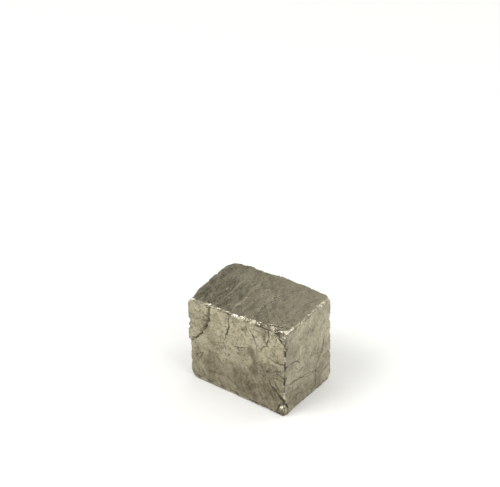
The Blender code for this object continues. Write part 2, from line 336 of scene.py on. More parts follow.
# %% Draw the steps
# Each step: how high its left side stands in millimetres, how far that lift reaches, and its route.
STEPS = {
    "front": [
        (0.05, 6.0, [(7.0, 30.0), (6.0, 26.0), (7.5, 22.0), (7.3, 17.0), (5.4, 12.0)]),
        (0.04, 5.0, [(-17.0, 6.0), (-11.0, 4.9), (-5.0, 5.6), (2.0, 3.4), (9.0, 3.0)]),
    ],
    "right": [
        (0.05, 4.0, [(3.8, 0.0), (4.0, 7.6), (6.7, 12.0), (8.7, 18.8), (9.4, 27.0)]),
        (-0.04, 5.0, [(-12.0, 11.4), (-4.8, 10.0), (3.0, 7.9), (9.0, 7.5)]),
    ],
    "top": [
        (0.07, 8.0, [(-2.5, -10.5), (-2.8, -6.0), (-3.4, -1.0), (-3.8, 4.0), (-4.2, 8.6)]),
        (-0.05, 6.0, [(4.1, -12.4), (4.8, -9.9), (4.4, -6.3), (4.1, -2.8), (4.4, 2.3)]),
        (0.05, 5.0, [(12.5, -9.5), (12.9, -3.0), (13.7, 2.6), (14.4, 6.5)]),
        (0.05, 5.0, [(-8.5, -8.0), (-8.3, -3.0), (-8.9, 3.0), (-9.2, 7.0)]),
        (-0.05, 5.0, [(0.6, -11.0), (0.8, -7.0), (0.5, -3.6)]),
        (0.04, 4.0, [(8.3, -7.0), (8.5, -1.0), (8.1, 4.0), (8.4, 8.0)]),
    ],
    "back": [
        (0.08, 7.0, [(-17.0, 21.0), (-9.0, 20.4), (-2.0, 22.6), (6.0, 22.0), (17.0, 23.0)]),
        (-0.06, 6.0, [(-6.0, 1.0), (-5.2, 9.0), (-6.4, 15.0)]),
        (0.05, 5.0, [(13.0, 2.0), (13.4, 11.0), (12.6, 20.0)]),
    ],
    "left": [
        (0.07, 6.0, [(-11.5, 12.0), (-4.0, 12.9), (3.0, 12.2), (12.0, 13.0)]),
        (-0.05, 5.0, [(-3.5, 14.0), (-3.0, 21.0), (-3.8, 29.0)]),
    ],
    "base": [
        (0.06, 6.0, [(-16.0, -2.0), (-6.0, -1.0), (5.0, -2.4), (16.0, -1.6)]),
    ],
}
steps = {
    face: [(rise, reach, roughened(route, chance, 3)) for rise, reach, route in drawn]
    for face, drawn in STEPS.items()
}
# The rim of the thick layer at the front face's top left, from the top edge down to the left edge.
RIM = roughened([
    (-9.56, 30.6), (-9.56, 30.0), (-10.06, 26.4), (-10.86, 22.8), (-12.36, 19.8), (-14.16, 17.3),
    (-16.16, 15.2), (-18.0, 13.8), (-18.9, 13.0),
], chance)
RIM_HEIGHT, RIM_SLOPE = 0.33, 1.6
print(sum(len(drawn) for drawn in steps.values()), "steps")

# %% [markdown]
# ## Pits and dents
#
# Small dents are scattered over every face, where grit or a neighbour pressed in. One on the front is a
# sharp three-sided pit, the print of a small crystal's corner.

# %% Place the pits
PITS_PER_FACE = 16
# Each pit: its centre, its radius and its depth, in millimetres. The ones listed one by one come first.
pits = {name: [] for name in FACES}
pits["front"] += [
    ((2.4, 25.8), 0.55, 0.16), ((11.2, 23.7), 0.60, 0.20), ((7.4, 20.3), 0.45, 0.12),
    ((1.8, 6.2), 0.50, 0.12), ((14.0, 14.9), 0.70, 0.14), ((-11.8, 24.0), 0.40, 0.10),
    ((12.0, 18.0), 0.55, 0.12), ((5.6, 8.4), 0.60, 0.10), ((14.7, 17.2), 0.5, 0.12),
]
pits["top"] += [((4.2, 2.2), 0.55, 0.16), ((4.2, -0.6), 0.40, 0.12), ((-12.7, 5.0), 0.4, 0.08)]
pits["right"] += [((6.5, 11.6), 0.60, 0.16), ((-8.9, 17.6), 0.45, 0.14), ((5.0, 10.4), 0.5, 0.12)]
for name in FACES:
    x0, y0 = face_coordinates(name, low[None])[0] + 1.0
    x1, y1 = face_coordinates(name, high[None])[0] - 1.0
    for _ in range(PITS_PER_FACE):
        radius = 0.16 + 0.4 * chance.random() ** 2.5
        centre = (chance.uniform(x0, x1), chance.uniform(y0, y1))
        pits[name].append((centre, radius, 0.22 * radius))
# The three-sided pit's outline, back to its start.
PRINT = np.array([(-15.4, 9.5), (-12.7, 11.2), (-14.3, 8.4), (-15.4, 9.5)])
print(sum(len(drawn) for drawn in pits.values()), "pits")

# %% [markdown]
# ## Stains and crazing
#
# The front face is darker towards its base, in slanting streaks: this is painted shade, the shaded table
# near its foot mirrored in the metal. A few brown clouds on it are stains. Where the crystal took a blow,
# its skin is crazed: a net of hairlines too fine for the mesh, which the finish draws later where this marks
# it.

# %% Place the clouds and the crazed patches
# Each cloud or patch: its centre, how far it reaches across and up, and its strength from 0 to 1.
CLOUDS = [
    ((7.0, 12.5), (4.2, 6.0), 0.75), ((5.5, 19.5), (2.4, 3.0), 0.70), ((3.0, 6.5), (9.0, 4.8), 0.75),
    ((12.5, 7.5), (4.6, 5.8), 0.75), ((-6.0, 6.5), (6.0, 3.0), 0.55), ((3.0, 26.5), (1.2, 1.6), 0.55),
    ((10.5, 27.5), (1.2, 2.4), 0.65), ((14.0, 15.0), (3.5, 2.5), 0.60), ((-7.5, 27.0), (1.5, 2.0), 0.35),
]
SHATTERED = {
    "front": [
        ((12.0, 14.5), (6.0, 5.0), 1.0), ((2.0, 18.5), (6.0, 3.0), 0.9), ((5.0, 7.0), (8.0, 5.0), 0.7),
        ((14.0, 27.0), (4.0, 4.0), 1.0), ((-14.0, 25.0), (4.0, 5.0), 0.5), ((6.0, 25.0), (4.0, 4.0), 0.6),
    ],
    "right": [
        ((6.0, 9.0), (5.0, 9.0), 1.0), ((-7.0, 5.0), (6.0, 5.0), 0.8), ((-9.0, 18.0), (4.0, 3.0), 0.6),
    ],
    "top": [
        ((3.0, 1.0), (6.0, 4.0), 0.8), ((-9.0, 6.0), (6.0, 4.0), 0.5), ((14.0, -9.0), (4.0, 4.0), 0.9),
    ],
    "back": [((5.0, 17.0), (8.0, 7.0), 0.8), ((-11.0, 7.0), (6.0, 5.0), 0.9)],
    "left": [((-6.0, 20.0), (6.0, 6.0), 0.8), ((6.0, 6.0), (5.0, 5.0), 0.7)],
    "base": [((6.0, 0.0), (9.0, 7.0), 0.8)],
}
print(len(CLOUDS), "clouds and", sum(len(drawn) for drawn in SHATTERED.values()), "crazed patches")

# %% [markdown]
# ## Finer triangles where they are needed
#
# A triangle's side is halved while it is much longer than the place needs: about a seventh of a millimetre
# along the block's edges and cracks, twice to four times that around them, and the coarse squares' own size
# everywhere else. Only a side that is the longest one of both its triangles is halved. A long side that
# isn't has to wait until its neighbours' longer sides have been. That way no triangle ever gets thin, and
# no corner is left lying on a neighbour's side, which would open a gap.

# %% Say how long a side may be
FINE, MIDDLING = 0.15, 0.30
# How far each size reaches, in millimetres: on both sides of the block's edges, then of a crack's walls.
EDGE_BANDS = ((1.3, 2 * MIDDLING), (0.7, MIDDLING), (0.24, FINE))
CRACK_BANDS = ((0.6, 2 * MIDDLING), (0.3, MIDDLING))
WALL_REACH, STEP_REACH, PIT_REACH, PRINT_REACH = 0.03, 0.25, 0.2, 0.6
# The front top corner is the most broken one.
CORNER = np.array((high[0] - 0.7, low[1] + 0.7, high[2] - 0.5))
CORNER_REACH = 3.0


def edge_closeness(points):
    """How far points on the blank are from its nearest edge."""
    gaps = np.minimum(points - low, high - points)
    return np.sort(gaps, axis=1)[:, 1]


def wanted_size(points, places, outwards):
    """How long an edge of the mesh may be at each corner."""
    closeness = edge_closeness(points)
    wanted = np.full(len(points), COARSE)
    for reach, size in EDGE_BANDS:
        wanted[closeness < reach] = size
    wanted[np.linalg.norm(places - CORNER, axis=1) < CORNER_REACH] = FINE
    for face in FACES:
        mine = np.flatnonzero(on_face(face, outwards))
        spots = face_coordinates(face, places[mine])
        for width, _, route in cracks[face]:
            close = near(route, spots, 1.0)
            gaps = nearest_on(route, spots[close])[0]
            for reach, size in (*CRACK_BANDS, (WALL_REACH + 0.5 * width, FINE)):
                rows = mine[close[gaps < reach]]
                wanted[rows] = np.minimum(wanted[rows], size)
        for _, _, route in steps[face]:
            close = near(route, spots, 0.5)
            rows = mine[close[nearest_on(route, spots[close])[0] < STEP_REACH]]
            wanted[rows] = np.minimum(wanted[rows], MIDDLING)
        for centre, radius, _ in pits[face]:
            rows = mine[np.linalg.norm(spots - centre, axis=1) < radius + PIT_REACH]
            wanted[rows] = np.minimum(wanted[rows], max(FINE, min(MIDDLING, 0.5 * radius)))
    mine = np.flatnonzero(on_face("front", outwards))
    spots = face_coordinates("front", places[mine])
    layer = mine[nearest_on(RIM, spots)[2] < 0]
    wanted[layer] = np.minimum(wanted[layer], MIDDLING)
    wanted[mine[nearest_on(PRINT, spots)[0] < PRINT_REACH]] = FINE
    return wanted


# %% Halve the sides that are too long
def sides_to_halve(lengths, too_long, triangles):
    """Which sides to halve now: longest in both their triangles, and too long or in the way of one."""
    longest = triangles[np.arange(len(triangles)), np.round(lengths, 4)[triangles].argmax(axis=1)]
    while True:
        before = too_long.sum()
        too_long[longest[too_long[triangles].any(axis=1)]] = True
        if too_long.sum() == before:
            break
    return np.flatnonzero(too_long & (np.bincount(longest, minlength=len(lengths)) == 2))


# How many times its wanted length a side may have, and how steeply it may run down a wall of the solid.
TOLERANCE, STEEP = 1.5, 0.35
MOST_ROUNDS = 40
points = places = outwards = np.empty((0, 3))
wanted = np.empty(0)
for level in range(MOST_ROUNDS):
    added = corners_of(skin)[len(points):]
    landed, facing = land(added)
    wanted = np.append(wanted, wanted_size(added, landed, facing))
    points, places = np.vstack((points, added)), np.vstack((places, landed))
    outwards = np.vstack((outwards, facing))
    skin.verts.index_update()
    skin.edges.index_update()
    skin.edges.ensure_lookup_table()
    ends = np.array([[vert.index for vert in edge.verts] for edge in skin.edges])
    triangles = np.array([[edge.index for edge in face.edges] for face in skin.faces])
    lengths = np.linalg.norm(points[ends[:, 0]] - points[ends[:, 1]], axis=1)
    along = places[ends[:, 0]] - places[ends[:, 1]]
    rise = np.abs((along * outwards[ends[:, 0]]).sum(axis=1))
    steep = (rise > STEEP * lengths) & (lengths > TOLERANCE * FINE)
    long = lengths > TOLERANCE * wanted[ends].min(axis=1)
    halved = sides_to_halve(lengths, long | steep, triangles)
    if not len(halved):
        break
    bmesh.ops.subdivide_edges(
        skin, edges=[skin.edges[index] for index in halved], cuts=1, use_single_edge=True
    )
print("after", level, "rounds the skin has", len(skin.faces), "triangles")

# %% Lay the finer skin on the solid
WORN_REACH = 2.4
for vert, place in zip(skin.verts, places):
    vert.co = Vector(place)
skin.verts.ensure_lookup_table()
worn = [skin.verts[index] for index in np.flatnonzero(edge_closeness(points) < WORN_REACH)]
for _ in range(2):
    bmesh.ops.smooth_vert(
        skin, verts=worn, factor=0.5, use_axis_x=True, use_axis_y=True, use_axis_z=True
    )
places = corners_of(skin)
print("the skin runs from", places.min(axis=0).round(2), "to", places.max(axis=0).round(2), "mm")

# %% [markdown]
# ## Carving
#
# Every corner of the mesh gets a depth, in millimetres along its outward direction, and five marks from 0 to
# 1 that the finish reads later: how dark it is with a crack or an edge line, which is mostly painted shade
# and painted dark reflection; how stained it is, which in places is painted shade; how freshly broken, which
# is painted as a glint; how dull its face is; and how finely crazed.

# %% Start with gentle waves
depth = np.zeros(len(points))
crack_and_shade_mark = np.zeros(len(points))
stain_and_shade_mark = np.zeros(len(points))
fresh_and_glint_mark = np.zeros(len(points))
dull_mark = np.zeros(len(points))
crazed_mark = np.zeros(len(points))


def waves(places, size, seed):
    """Smooth chance values from about -1 to 1, in waves of a given size in millimetres."""
    shift = Vector((seed * 17.3, seed * 5.1, seed * 9.7))
    return np.array([noise.noise(Vector(place) / size + shift) for place in places])


def smooth(values, start, end):
    """Eases from 0 at the start to 1 at the end."""
    share = ((values - start) / (end - start)).clip(0, 1)
    return share * share * (3 - 2 * share)


BROAD_SIZE, BROAD_DEPTH, FINE_SIZE, FINE_DEPTH = 7.0, 0.05, 2.6, 0.03
broad, fine = waves(places, BROAD_SIZE, 1), waves(places, FINE_SIZE, 2)
depth += BROAD_DEPTH * broad + FINE_DEPTH * fine
DULLNESS = {"front": 1.0, "right": 0.7, "top": 0.2, "back": 0.8, "left": 0.7, "base": 0.9}
for face, dull in DULLNESS.items():
    dull_mark[on_face(face, outwards)] = dull
print("waves from", depth.min().round(3), "to", depth.max().round(3), "mm")

# %% Darken the lower half of the front face with painted shade
def slanting(spots, heading, seed):
    """Chance values in streaks that run one way across a face, four times as long as they are wide."""
    along = np.array((math.cos(heading), math.sin(heading)))
    across = np.array((-along[1], along[0]))
    return waves(np.column_stack((spots @ across, spots @ along / 4, np.zeros(len(spots)))), 1.1, seed)


mine = np.flatnonzero(on_face("front", outwards))
spots = face_coordinates("front", places[mine])
streaky = slanting(spots, math.radians(-58), 13)
# Painted shade: the face darkens towards its base, in slanting streaks, where it mirrors the shaded table
# near its foot. The brown clouds below are stains.
painted_base_shade = smooth(spots[:, 1] + 3.0 * broad[mine] + 2.0 * fine[mine], 27.0, 4.0)
stain_and_shade_mark[mine] = 0.48 * painted_base_shade * (1 + 0.9 * streaky)
for centre, reach, strength in CLOUDS:
    gaps = np.linalg.norm((spots - centre) / reach, axis=1) + 0.35 * fine[mine] + 0.7 * streaky
    stain_and_shade_mark[mine] = np.maximum(stain_and_shade_mark[mine], strength * smooth(gaps, 1.1, 0.2))
print("the front face's lower half is stained up to", stain_and_shade_mark[mine].max().round(2))

# %% Tarnish the other sides a little
for face, tarnish in (("right", 0.34), ("back", 0.30), ("left", 0.30), ("base", 0.30)):
    mine = np.flatnonzero(on_face(face, outwards))
    streaky = slanting(face_coordinates(face, places[mine]), math.radians(28), 14)
    patchy = broad[mine] + 0.5 * fine[mine] + 0.9 * streaky
    stain_and_shade_mark[mine] = 0.08 + tarnish * smooth(patchy, -0.5, 0.6)
    print("the", face, "face is stained up to", stain_and_shade_mark[mine].max().round(2))

# %% Craze the shattered places
for face, patches in SHATTERED.items():
    mine = np.flatnonzero(on_face(face, outwards))
    spots = face_coordinates(face, places[mine])
    for centre, reach, strength in patches:
        gaps = np.linalg.norm((spots - centre) / reach, axis=1)
        crazed_mark[mine] = np.maximum(crazed_mark[mine], strength * smooth(gaps, 1.0, 0.3))
    for _, _, route in cracks[face]:
        close = near(route, spots, 2.5)
        gaps = nearest_on(route, spots[close])[0]
        rows = mine[close]
        crazed_mark[rows] = np.maximum(crazed_mark[rows], 0.8 * np.exp(-gaps / 0.9))
print("crazed corners:", (crazed_mark > 0.3).sum())

# %% Carve the steps
# Each step has a narrow groove at its foot, painted dark here and there as shade in the groove.
FOOT_WIDTH = 0.16
for face in FACES:
    mine = np.flatnonzero(on_face(face, outwards))
    spots = face_coordinates(face, places[mine])
    for rise, reach, route in steps[face]:
        close = near(route, spots, reach)
        gaps, progress, side, _ = nearest_on(route, spots[close])
        fade = np.sin(np.pi * progress.clip(0.02, 0.98)) ** 0.5
        lift = np.where(side > 0, (1 - gaps / reach).clip(0, 1) ** 1.5, 0.0)
        foot = np.exp(-((gaps / FOOT_WIDTH) ** 2))
        rows = mine[close]
        depth[rows] += rise * fade * lift + abs(rise) * fade * (-0.4 * foot)
        line = 0.7 * fade * foot * smooth(fine[rows], -0.5, 0.2)
        crack_and_shade_mark[rows] = np.maximum(crack_and_shade_mark[rows], line)
print("the deepest corner is now at", depth.min().round(3), "mm")

# %% Wear the thick layer's rim down to a rough slope
mine = np.flatnonzero(on_face("front", outwards))
spots = face_coordinates("front", places[mine])
gaps, _, side, _ = nearest_on(RIM, spots)
on_layer = side < 0
rim_places = places[mine]
ragged = gaps + 0.7 * waves(rim_places, 1.3, 3) + 0.4 * waves(rim_places, 0.55, 4)
slope = 1 - smooth(ragged, 0.0, RIM_SLOPE)
depth[mine] -= np.where(on_layer, RIM_HEIGHT * slope, 0.0)
# The groove at the rim's foot and the slope are painted dark: painted shade of a slope that faces away from
# the light, browned with stain.
foot = np.exp(-((gaps / 0.25) ** 2)) * smooth(waves(rim_places, 1.2, 6), -0.45, 0.15)
depth[mine] -= 0.14 * foot
worn_and_shaded_rim = np.where(on_layer, smooth(slope + 0.5 * waves(rim_places, 0.8, 7), 0.3, 0.8), 0.0)
crack_and_shade_mark[mine] = np.maximum(crack_and_shade_mark[mine], np.maximum(0.8 * foot, 0.2 * worn_and_shaded_rim))
stain_and_shade_mark[mine] = np.maximum(stain_and_shade_mark[mine], 0.65 * worn_and_shaded_rim)
# Fine parallel growth lines cross the layer at a slant.
HATCH_ACROSS, HATCH_SPACING = (0.75, 0.66), 0.62
hatch_across = (spots[:, 0] * HATCH_ACROSS[0] + spots[:, 1] * HATCH_ACROSS[1]) / HATCH_SPACING
hatch_across += 0.5 * waves(rim_places, 1.6, 5)
hatch = np.where(on_layer, np.sin(2 * np.pi * hatch_across) * smooth(gaps, 0.8, 2.0), 0.0)
depth[mine] += 0.03 * hatch
stain_and_shade_mark[mine] = np.maximum(stain_and_shade_mark[mine], 0.4 * hatch)
print("the layer covers", on_layer.sum(), "corners")

# %% Cut the cracks
snapped = 0
crack_waves = waves(places, 1.7, 8)
for face in FACES:
    mine = np.flatnonzero(on_face(face, outwards))
    axis = FACES[face][0]
    plane = [other for other in range(3) if other != axis]
    for width, dark, route in cracks[face]:
        spots = face_coordinates(face, places[mine])
        close = near(route, spots, 1.2)
        rows = mine[close]
        gaps, progress, side, onto = nearest_on(route, spots[close])
        taper = 0.35 + 0.65 * np.sin(np.pi * progress.clip(0, 1)) ** 0.6
        taper *= 0.35 + 0.65 * smooth(crack_waves[rows], -0.65, 0.05)
        half = 0.5 * width * taper
        groove = (1 - gaps / half).clip(0, 1)
        depth[rows] -= 0.85 * width * taper * groove
        depth[rows] += 0.025 * side * np.exp(-gaps / 0.4)
        stain_and_shade_mark[rows] = np.maximum(stain_and_shade_mark[rows], 0.4 * dark * taper * np.exp(-((gaps / 0.3) ** 2)))
        # Inside each crack the skin is painted nearly black: painted shade in the groove.
        crack_and_shade_mark[rows] = np.maximum(
            crack_and_shade_mark[rows], dark * taper ** 0.5 * (1 - gaps / (half * 1.4)).clip(0, 1) ** 0.6
        )
        on_line = gaps < 0.5 * FINE
        places[np.ix_(rows[on_line], plane)] = onto[on_line]
        snapped += on_line.sum()
print("drew", snapped, "corners of the mesh onto the cracks")

# %% Press in the pits
for face in FACES:
    mine = np.flatnonzero(on_face(face, outwards))
    spots = face_coordinates(face, places[mine])
    for centre, radius, dent in pits[face]:
        gaps = np.linalg.norm(spots - centre, axis=1) / radius
        rows = mine[gaps < 1]
        bowl = (1 - gaps[gaps < 1] ** 2) ** 0.8
        depth[rows] -= dent * bowl
        stain_and_shade_mark[rows] = np.maximum(stain_and_shade_mark[rows], 0.7 * bowl)
mine = np.flatnonzero(on_face("front", outwards))
spots = face_coordinates("front", places[mine])
gaps = nearest_on(PRINT, spots)[0]
inside = np.ones(len(spots), bool)
for start, end in zip(PRINT, PRINT[1:]):
    run, to_spot = end - start, spots - start
    inside &= run[0] * to_spot[:, 1] < run[1] * to_spot[:, 0]
depth[mine] -= np.where(inside, 0.55 * gaps.clip(0, 0.4), 0.0) + 0.05 * np.exp(-((gaps / 0.12) ** 2))
crack_and_shade_mark[mine] = np.maximum(crack_and_shade_mark[mine], 0.9 * np.exp(-((gaps / 0.15) ** 2)))
stain_and_shade_mark[mine] = np.where(inside, 0.1, stain_and_shade_mark[mine])
print("the deepest corner is now at", depth.min().round(3), "mm")

# %% Crumble the edges a little, and paint their dark lines and glints
# The block's twelve edges: the axis that each runs along, and its side of the block on the other two.
EDGES = [
    (axis, first, second) for axis in range(3) for first in (-1, 1) for second in (-1, 1)
]
# How dark each edge's line is, with dirt and painted dark reflection, and how much painted glint it has: by
# the axis it runs along and the sides of the block it is on.
EDGE_LOOKS = {
    (0, -1, 1): (0.9, 1.0), (2, 1, -1): (1.5, 0.8), (1, 1, 1): (0.6, 0.9), (0, 1, 1): (0.6, 0.9),
    (1, -1, 1): (0.5, 0.9), (2, -1, -1): (0.5, 0.5), (2, 1, 1): (0.5, 0.4), (2, -1, 1): (0.6, 0.6),
}
# The base's edges get a dark line of painted contact shade and almost no painted glint.
AT_THE_BASE = (0.9, 0.1)
crumbs, grit = waves(places, 0.9, 9), waves(places, 0.4, 10)
streaks = waves(places, 2.3, 12)
# Places along the edges that get a dark line of dirt and painted dark reflection, and places that get a
# painted glint.
dirty_and_shaded_places = smooth(0.8 * streaks + 0.5 * crumbs + 0.5 * grit, -0.2, 0.25)
bare_and_glint_places = smooth(-0.6 * streaks - 0.5 * crumbs + 0.6 * grit, 0.0, 0.35)
crazed_mark = np.maximum(crazed_mark, 0.7 * np.exp(-edge_closeness(points)))
for axis, first, second in EDGES:
    dirt_and_shade, painted_glint = EDGE_LOOKS.get((axis, first, second), AT_THE_BASE)
    gaps = [
        high[other] - points[:, other] if side > 0 else points[:, other] - low[other]
        for other, side in zip([other for other in range(3) if other != axis], (first, second))
    ]
    gaps = np.maximum(*gaps)
    depth -= np.exp(-((gaps / 0.7) ** 2)) * (0.07 * smooth(crumbs, 0.0, 0.5) + 0.05 * grit)
    # A dark line along each edge is dirt and painted dark reflection, and along the base it is painted
    # contact shade. The bare bits along it are painted glints. Beside each edge the stain darkens in step
    # with that line.
    line = np.exp(-((gaps / (0.34 + 0.22 * grit)) ** 2))
    crack_and_shade_mark = np.maximum(crack_and_shade_mark, dirt_and_shade * dirty_and_shaded_places * line)
    fresh_and_glint_mark = np.maximum(fresh_and_glint_mark, painted_glint * bare_and_glint_places * np.exp(-((gaps / 0.45) ** 2)))
    stain_and_shade_mark = np.maximum(stain_and_shade_mark, 0.6 * dirt_and_shade * np.exp(-gaps / 0.7) * smooth(fine, -0.3, 0.3))
print("the edges have", (fresh_and_glint_mark > 0.5).sum(), "bare and", (crack_and_shade_mark > 0.5).sum(), "dirty corners")

# %% Move the corners
places += outwards * depth[:, None]
print("the carved skin runs from", places.min(axis=0).round(2), "to", places.max(axis=0).round(2), "mm")

# %% [markdown]
# ## Chips along the edges
#
# Hundreds of small flakes are gone from the edges. Each one leaves a tiny flat facet that shines when the
# light is right, which is why the edges of a pyrite crystal glitter. The freshly broken facets are also
# painted near white, a painted glint, and a dark line of dirt and painted dark reflection runs round each
# facet. A chip is a plane: every corner of the mesh that stands outside the plane, within reach of the
# chip's middle, is pressed back onto it.

# %% Chip the edges
def chip(centre, facing, radius, fresh_and_glint, dirt_and_shade):
    """Presses the corners near a centre back behind a plane through it, and marks the broken facet."""
    offsets = places - centre
    above = offsets @ facing
    reach = np.linalg.norm(offsets, axis=1) / radius
    rows = np.flatnonzero((reach < 1) & (above > 0))
    places[rows] -= np.outer(above[rows], facing)
    grainy = 0.75 + 0.25 * grit[rows]
    # Round each facet's rim a dark line is painted, dirt and painted dark reflection; a freshly broken facet
    # is painted near white, a painted glint.
    rim = np.exp(-((above[rows] / 0.035) ** 2)) * smooth(crumbs[rows], -0.4, 0.3)
    fresh_and_glint_mark[rows] = fresh_and_glint * grainy * (1 - rim)
    crack_and_shade_mark[rows] = np.maximum(0.6 * crack_and_shade_mark[rows], np.maximum(dirt_and_shade * grainy, 0.8 * rim))
    return len(rows)


CHIPS_PER_MM = 1.3
# How freshly broken a chip may be, which paints a glint on it, and how dark, which is dirt and painted dark
# reflection.
CHIP_LOOKS = ((1.0, 0.0), (0.6, 0.0), (0.1, 0.1), (0.0, 0.45), (0.0, 0.85))
sides = high - low
chips, touched = 0, 0
along_edges = edge_closeness(points) < 2.2
for axis, first, second in EDGES:
    others = [other for other in range(3) if other != axis]
    outward = np.zeros(3)
    outward[others[0]], outward[others[1]] = first, second
    outward /= np.linalg.norm(outward)
    at_edge = np.flatnonzero(along_edges & (outwards @ outward > 0.985))
    count = round(sides[axis] * CHIPS_PER_MM)
    for index in range(count):
        spot = low[axis] + sides[axis] * (index + chance.random()) / count
        rows = at_edge[np.abs(places[at_edge, axis] - spot) < 0.3]
        if not len(rows):
            continue
        crest = places[rows[(places[rows] @ outward).argmax()]]
        tilt = np.array([chance.gauss(0, 0.42) for _ in range(3)])
        facing = outward + tilt
        facing /= np.linalg.norm(facing)
        radius = 0.25 + 0.85 * chance.random() ** 3
        bite = radius * chance.uniform(0.05, 0.24)
        fresh_and_glint, dirt_and_shade = chance.choice(CHIP_LOOKS)
        fresh_and_glint *= EDGE_LOOKS.get((axis, first, second), AT_THE_BASE)[1]
        touched += chip(crest - facing * bite, facing, radius, fresh_and_glint, dirt_and_shade)
        chips += 1
print(chips, "chips moved", touched, "corners of the mesh")

# %% Flake the front top corner
# Each flake: how far it lies from the corner, the direction it faces, its radius, how deep it bites, how
# freshly broken it is, which paints a glint on it, and how dark it is with dirt and painted dark reflection.
# The last two flakes are on the small crystal in the notch far below.
FLAKES = [
    ((-1.6, 0.2, -0.1), (-0.12, -0.68, 0.72), 2.0, 0.40, 1.0, 0.0),
    ((-0.4, 0.9, 0.1), (0.30, -0.30, 0.90), 1.6, 0.30, 1.0, 0.0),
    ((-3.4, 0.2, -0.2), (-0.3, -0.60, 0.74), 1.4, 0.28, 0.8, 0.0),
    ((0.3, 2.2, 0.0), (0.65, -0.1, 0.75), 1.5, 0.26, 0.9, 0.0),
    ((-1.0, -0.2, -1.8), (-0.35, -0.90, 0.26), 1.7, 0.26, 1.0, 0.0),
    ((-2.7, 0.0, -1.2), (-0.50, -0.78, 0.10), 1.0, 0.22, 0.2, 0.6),
    ((0.1, -0.1, -1.2), (0.6, -0.8, 0.1), 1.1, 0.22, 0.1, 0.5),
    ((-0.2, -0.2, -3.1), (0.75, -0.65, 0.15), 1.0, 0.14, 0.2, 0.7),
    ((-2.2, -0.2, -1.0), (-0.45, -0.8, 0.4), 0.9, 0.10, 0.1, 0.5),
    ((0.4, 3.6, 0.0), (0.7, 0.15, 0.7), 0.9, 0.12, 1.0, 0.0),
    ((-1.3, 1.4, 0.2), (0.12, -0.2, 0.97), 1.4, 0.06, 0.5, 0.0),
    ((-0.9, 0.3, -27.6), (0.10, -0.80, 0.60), 0.8, 0.10, 1.0, 0.0),
    ((-0.3, 0.6, -27.2), (0.50, -0.30, 0.80), 0.6, 0.10, 0.9, 0.0),
]
flaked = 0
for offset, facing, radius, bite, fresh_and_glint, dirt_and_shade in FLAKES:
    facing = np.array(facing) / np.linalg.norm(facing)
    centre = CORNER + offset
    rows = np.flatnonzero(np.linalg.norm(places - centre, axis=1) < 0.8 * radius)
    if len(rows):
        crest = places[rows[(places[rows] @ facing).argmax()]]
        flaked += chip(crest - facing * bite, facing, radius, fresh_and_glint, dirt_and_shade)
print(len(FLAKES), "flakes moved", flaked, "corners of the mesh")

# %% Take off the burrs
# A burr is a corner of the mesh that stands this far above the middle of its neighbours.
BURR = 0.07
neighbours = np.bincount(ends.ravel(), minlength=len(places))
for _ in range(4):
    middles = np.zeros_like(places)
    np.add.at(middles, ends[:, 0], places[ends[:, 1]])
    np.add.at(middles, ends[:, 1], places[ends[:, 0]])
    middles /= neighbours[:, None]
    burrs = ((places - middles) * outwards).sum(axis=1) > BURR
    places[burrs] = middles[burrs]
print("the last pass took off", burrs.sum(), "burrs")

# %% Finish the mesh
SHARP = math.radians(28)
places[:, 2] = places[:, 2].clip(low[2], high[2])
for vert, place in zip(skin.verts, places):
    vert.co = Vector(place) * MM
bmesh.ops.recalc_face_normals(skin, faces=skin.faces)
mesh = bpy.data.meshes.new("crystal_skin")
skin.to_mesh(mesh)
skin.free()
all_marks = {
    "crack_and_shade": crack_and_shade_mark, "stain_and_shade": stain_and_shade_mark, "fresh_and_glint": fresh_and_glint_mark, "dull": dull_mark,
    "crazed": crazed_mark,
}
for name, marks in all_marks.items():
    layer = mesh.attributes.new(name, "FLOAT", "POINT")
    layer.data.foreach_set("value", marks.clip(0, 1))
mesh.shade_smooth()
mesh.set_sharp_from_angle(angle=SHARP)
crystal = bpy.data.objects.new("pyrite_crystal_skin", mesh)
bpy.context.scene.collection.objects.link(crystal)
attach(crystal, "root")
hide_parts("pyrite_crystal")
print("the skin has", len(mesh.polygons), "triangles")

# %% [markdown]
# ## The metal
#
# Pyrite is a metal to look at: all its colour is in its reflections. The skin is a pale brass, duller and
# browner where it has tarnished. It is nearly black inside the cracks, which is painted shade, and dark
# along the edges with dirt and painted dark reflection. It is darker towards the front face's base, which is
# painted shade too, and freshly broken chips are painted near white, a painted glint. The surface is also
# finely rough, with a mottle, small flecks and a finer grain.
#
# A small class lets the finish be written as sums: adding or multiplying two wires adds the Math node.

# %% Write shader maths as sums
class Wire:
    """A node's output. Sums of wires and numbers add Math nodes to its tree."""

    def __init__(self, socket):
        self.socket = socket
        self.tree = socket.id_data

    @staticmethod
    def node(tree, kind, settings=(), inputs=(), output=0):
        """Adds a node: its settings first, then its sockets' values or links."""
        made = tree.nodes.new(kind)
        for name, value in dict(settings).items():
            setattr(made, name, value)
        for name, value in dict(inputs).items():
            if isinstance(value, Wire):
                tree.links.new(value.socket, made.inputs[name])
            else:
                made.inputs[name].default_value = value
        return Wire(made.outputs[output])

    def maths(self, operation, first, second):
        return Wire.node(self.tree, "ShaderNodeMath", {"operation": operation}, {0: first, 1: second})

    def __add__(self, other):
        return self.maths("ADD", self, other)

    def __sub__(self, other):
        return self.maths("SUBTRACT", self, other)

    def __mul__(self, other):
        return self.maths("MULTIPLY", self, other)

    def __radd__(self, other):
        return self.maths("ADD", other, self)

    def __rsub__(self, other):
        return self.maths("SUBTRACT", other, self)

    def __rmul__(self, other):
        return self.maths("MULTIPLY", other, self)


def blended(tree, share, first, second):
    """A colour between two colours."""
    return Wire.node(
        tree, "ShaderNodeMix", {"data_type": "RGBA"}, {0: share, 6: first, 7: second}, output=2
    )


